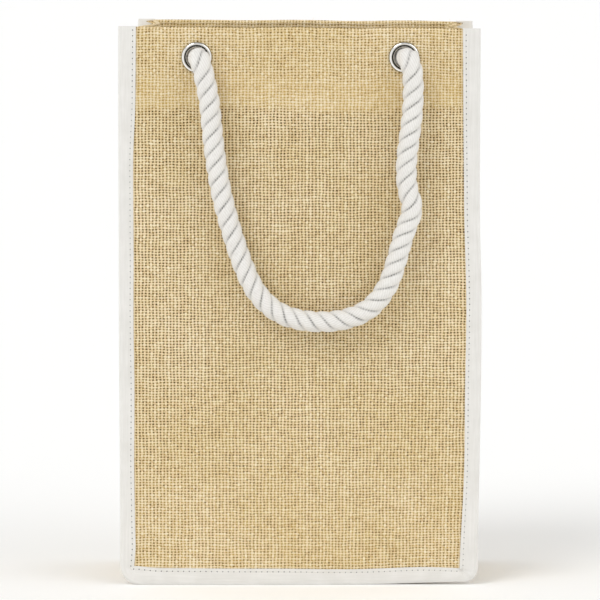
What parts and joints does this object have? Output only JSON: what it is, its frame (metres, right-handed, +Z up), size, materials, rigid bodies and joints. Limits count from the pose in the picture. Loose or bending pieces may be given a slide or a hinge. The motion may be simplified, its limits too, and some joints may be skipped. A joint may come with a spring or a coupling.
{
  "type": "wine gift bag",
  "caption": "Upright jute cloth bag with bound edges, a divider for bottles side by side and swinging rope handles held in eyelets.",
  "frame": {"origin": "on the ground, under the middle of the bag", "axes": "+Z up, the front panel faces -Y, +X to the right seen from the front"},
  "size_m": [0.226, 0.1364, 0.35],
  "materials": {
    "jute_cloth": "woven",
    "cotton_tape": "woven",
    "sewing_thread": "spun",
    "cotton_rope": "twisted",
    "nickel_plate": "polished"
  },
  "bodies": {
    "bag": {"front_panel": "jute_cloth", "front_binding": "cotton_tape", "front_needle_thread": "sewing_thread", "front_bobbin_thread": "sewing_thread", "front_left_eyelet": "nickel_plate", "front_left_eyelet_washer": "nickel_plate", "front_left_rope_end": "cotton_rope", "front_left_rope_bend": "cotton_rope", "front_right_eyelet": "nickel_plate", "front_right_eyelet_washer": "nickel_plate", "front_right_rope_end": "cotton_rope", "front_right_rope_bend": "cotton_rope", "back_panel": "jute_cloth", "back_binding": "cotton_tape", "back_needle_thread": "sewing_thread", "back_bobbin_thread": "sewing_thread", "back_left_eyelet": "nickel_plate", "back_left_eyelet_washer": "nickel_plate", "back_left_rope_end": "cotton_rope", "back_left_rope_bend": "cotton_rope", "back_right_eyelet": "nickel_plate", "back_right_eyelet_washer": "nickel_plate", "back_right_rope_end": "cotton_rope", "back_right_rope_bend": "cotton_rope", "gusset_strip": "jute_cloth", "divider": "jute_cloth"},
    "front_handle": {"front_rope_handle": "cotton_rope"},
    "back_handle": {"back_rope_handle": "cotton_rope"}
  },
  "joints": [
    {"name": "front_handle_swing", "type": "hinge", "parent": "bag", "child": "front_handle", "pos_m": [0, -0.062, 0.3312], "axis": [-1, 0, 0], "range_deg": [0, 178], "deforming": ["front_left_rope_bend", "front_right_rope_bend"]},
    {"name": "back_handle_swing", "type": "hinge", "parent": "bag", "child": "back_handle", "pos_m": [0, 0.062, 0.3312], "axis": [1, 0, 0], "range_deg": [0, 178], "deforming": ["back_left_rope_bend", "back_right_rope_bend"]}
  ]
}
